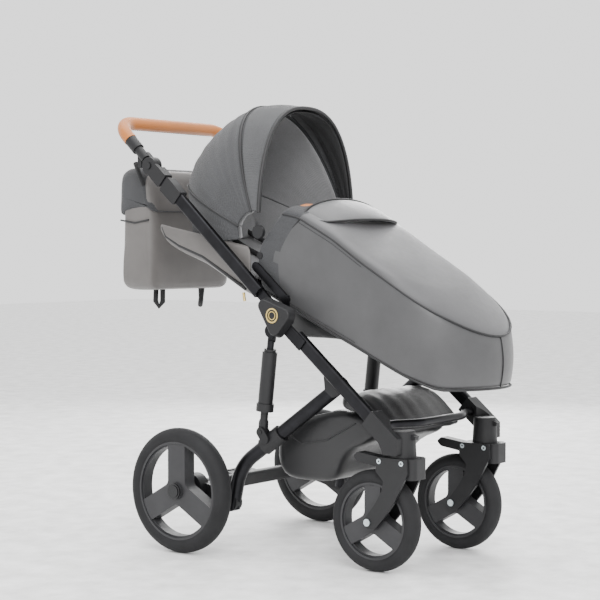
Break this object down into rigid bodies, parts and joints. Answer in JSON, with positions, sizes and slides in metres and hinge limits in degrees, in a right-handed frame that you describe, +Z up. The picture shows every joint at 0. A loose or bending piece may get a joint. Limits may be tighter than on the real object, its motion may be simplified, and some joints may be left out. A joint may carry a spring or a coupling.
{
  "type": "baby stroller",
  "caption": "Baby stroller with a folding tube chassis, sprung rear legs, swivelling front wheels, basket, canopy, footmuff, tilting handle and changing bag.",
  "frame": {"origin": "centre of the bounding box on the floor", "axes": "+Z up, the stroller travels towards -Y, +X to the left of someone pushing it"},
  "size_m": [0.594, 1.0144, 1.056],
  "materials": {
    "black_metal": "satin black anodised",
    "black_plastic": "matte moulded",
    "rim_plastic": "matte charcoal",
    "cap_plastic": "gloss",
    "gold": "satin",
    "steel": "brushed",
    "tyre": "matte rubber",
    "tan_leather": "grained",
    "dark_leather": "soft faux leather",
    "muff_leather": "satin faux leather",
    "grey_fabric": "melange weave",
    "light_fabric": "plain weave",
    "warm_fabric": "soft faux leather"
  },
  "bodies": {
    "chassis": {"lower_tube_right": "black_metal", "lower_tube_left": "black_metal", "hub_plates": "black_metal", "hub_covers": "black_plastic", "hub_badges": "gold", "seat_adaptors": "black_plastic", "swivel_housing_right": "black_plastic", "swivel_housing_left": "black_plastic", "tube_end_brackets": "black_plastic", "front_crossbar": "black_metal", "leg_hangers": "black_plastic", "basket": "dark_leather", "basket_lid": "dark_leather"},
    "push_frame": {"upper_tube_right": "black_metal", "upper_tube_left": "black_metal", "tilt_sockets": "black_plastic"},
    "collars": {"release_collars": "black_plastic"},
    "handle": {"handle_arms": "black_plastic", "handle_grip": "tan_leather"},
    "rear_frame": {"rear_leg_right": "black_metal", "rear_leg_left": "black_metal", "leg_clamp_right": "black_plastic", "leg_clamp_left": "black_plastic", "axle_bracket_right": "black_plastic", "axle_bracket_left": "black_plastic", "rear_axle": "steel", "rear_beam": "black_plastic", "hub_caps": "cap_plastic"},
    "pedal": {"brake_pedal": "black_plastic"},
    "seat": {"seat_frame": "black_metal", "seat_pan": "dark_leather", "footmuff": "muff_leather", "footmuff_flap": "muff_leather", "bumper_bar": "tan_leather"},
    "backrest": {"backrest_shell": "warm_fabric", "seat_pad": "light_fabric", "canopy_rear": "grey_fabric", "canopy_mid": "grey_fabric"},
    "canopy": {"canopy_front": "grey_fabric"},
    "bag": {"bag": "warm_fabric"},
    "strut_sleeve_right": {"strut_sleeve_right": "black_plastic"},
    "strut_rod_right": {"strut_rod_right": "black_metal"},
    "rear_wheel_right": {"rear_tyre_right": "tyre", "rear_rim_right": "rim_plastic"},
    "caster_right": {"fork_right": "black_plastic", "fork_rivets_right": "steel"},
    "front_wheel_right": {"front_tyre_right": "tyre", "front_rim_right": "rim_plastic"},
    "lever_right": {"lock_lever_right": "black_plastic"},
    "button_right": {"tilt_button_right": "black_plastic"},
    "strut_sleeve_left": {"strut_sleeve_left": "black_plastic"},
    "strut_rod_left": {"strut_rod_left": "black_metal"},
    "rear_wheel_left": {"rear_tyre_left": "tyre", "rear_rim_left": "rim_plastic"},
    "caster_left": {"fork_left": "black_plastic", "fork_rivets_left": "steel"},
    "front_wheel_left": {"front_tyre_left": "tyre", "front_rim_left": "rim_plastic"},
    "lever_left": {"lock_lever_left": "black_plastic"},
    "button_left": {"tilt_button_left": "black_plastic"}
  },
  "joints": [
    {"name": "frame_fold", "type": "hinge", "parent": "chassis", "child": "push_frame", "pos_m": [0, -0.04675, 0.549], "axis": [1, 0, 0], "range_deg": [0, 150]},
    {"name": "collar_release", "type": "slide", "parent": "push_frame", "child": "collars", "axis": [0, -0.7447, -0.6674], "range_m": [0, 0.012], "stiffness_N_per_m": 800, "springref_m": -0.006},
    {"name": "handle_tilt", "type": "hinge", "parent": "push_frame", "child": "handle", "pos_m": [0, 0.34825, 0.903], "axis": [1, 0, 0], "range_deg": [-25, 25]},
    {"name": "rear_suspension", "type": "hinge", "parent": "chassis", "child": "rear_frame", "pos_m": [0, -0.18275, 0.398], "axis": [1, 0, 0], "range_deg": [0, 3], "stiffness_Nm_per_rad": 900, "springref_deg": -5.16},
    {"name": "brake_press", "type": "hinge", "parent": "rear_frame", "child": "pedal", "pos_m": [0, 0.22325, 0.149], "axis": [-1, 0, 0], "range_deg": [0, 18]},
    {"name": "seat_lift", "type": "slide", "parent": "chassis", "child": "seat", "axis": [0, 0, 1], "range_m": [0, 0.08]},
    {"name": "backrest_recline", "type": "hinge", "parent": "seat", "child": "backrest", "pos_m": [0, 0.05325, 0.585], "axis": [-1, 0, 0], "range_deg": [0, 8]},
    {"name": "canopy_fold", "type": "hinge", "parent": "backrest", "child": "canopy", "pos_m": [0, 0.03325, 0.73], "axis": [-1, 0, 0], "range_deg": [0, 45], "deforming": ["canopy_mid"]},
    {"name": "bag_set_down", "type": "slide", "parent": "chassis", "child": "bag", "axis": [0, 0, -1], "range_m": [0, 0.55]},
    {"name": "sleeve_swing_right", "type": "hinge", "parent": "rear_frame", "child": "strut_sleeve_right", "pos_m": [-0.208, -0.00024, 0.2892], "axis": [1, 0, 0], "range_deg": [-1.38, 0.05]},
    {"name": "rod_swing_right", "type": "hinge", "parent": "chassis", "child": "strut_rod_right", "pos_m": [-0.208, -0.02675, 0.52], "axis": [1, 0, 0], "range_deg": [-0.05, 1.72]},
    {"name": "rear_spin_right", "type": "hinge", "parent": "rear_frame", "child": "rear_wheel_right", "pos_m": [0, 0.19525, 0.145], "axis": [1, 0, 0], "continuous": true},
    {"name": "caster_swivel_right", "type": "hinge", "parent": "chassis", "child": "caster_right", "pos_m": [-0.169, -0.35875, 0.25], "axis": [0, 0, 1], "continuous": true},
    {"name": "front_spin_right", "type": "hinge", "parent": "caster_right", "child": "front_wheel_right", "pos_m": [0, -0.28875, 0.112], "axis": [1, 0, 0], "continuous": true},
    {"name": "lever_turn_right", "type": "hinge", "parent": "caster_right", "child": "lever_right", "pos_m": [-0.169, -0.30775, 0.252], "axis": [1, 0, 0], "range_deg": [0, 20]},
    {"name": "button_press_right", "type": "slide", "parent": "push_frame", "child": "button_right", "axis": [1, 0, 0], "range_m": [0, 0.003], "stiffness_N_per_m": 500, "springref_m": -0.004},
    {"name": "sleeve_swing_left", "type": "hinge", "parent": "rear_frame", "child": "strut_sleeve_left", "pos_m": [0.208, -0.00024, 0.2892], "axis": [1, 0, 0], "range_deg": [-1.38, 0.05]},
    {"name": "rod_swing_left", "type": "hinge", "parent": "chassis", "child": "strut_rod_left", "pos_m": [0.208, -0.02675, 0.52], "axis": [1, 0, 0], "range_deg": [-0.05, 1.72]},
    {"name": "rear_spin_left", "type": "hinge", "parent": "rear_frame", "child": "rear_wheel_left", "pos_m": [0, 0.19525, 0.145], "axis": [1, 0, 0], "continuous": true},
    {"name": "caster_swivel_left", "type": "hinge", "parent": "chassis", "child": "caster_left", "pos_m": [0.169, -0.35875, 0.25], "axis": [0, 0, 1], "continuous": true},
    {"name": "front_spin_left", "type": "hinge", "parent": "caster_left", "child": "front_wheel_left", "pos_m": [0, -0.28875, 0.112], "axis": [1, 0, 0], "continuous": true},
    {"name": "lever_turn_left", "type": "hinge", "parent": "caster_left", "child": "lever_left", "pos_m": [0.169, -0.30775, 0.252], "axis": [1, 0, 0], "range_deg": [0, 20]},
    {"name": "button_press_left", "type": "slide", "parent": "push_frame", "child": "button_left", "axis": [-1, 0, 0], "range_m": [0, 0.003], "stiffness_N_per_m": 500, "springref_m": -0.004}
  ],
  "couplings": [
    {"joint": "bag_set_down", "follows": "frame_fold", "m_per_rad": 0.21001},
    {"joint": "sleeve_swing_right", "follows": "rear_suspension", "ratio": -0.44291},
    {"joint": "rod_swing_right", "follows": "rear_suspension", "ratio": 0.55709},
    {"joint": "sleeve_swing_left", "follows": "rear_suspension", "ratio": -0.44291},
    {"joint": "rod_swing_left", "follows": "rear_suspension", "ratio": 0.55709}
  ]
}
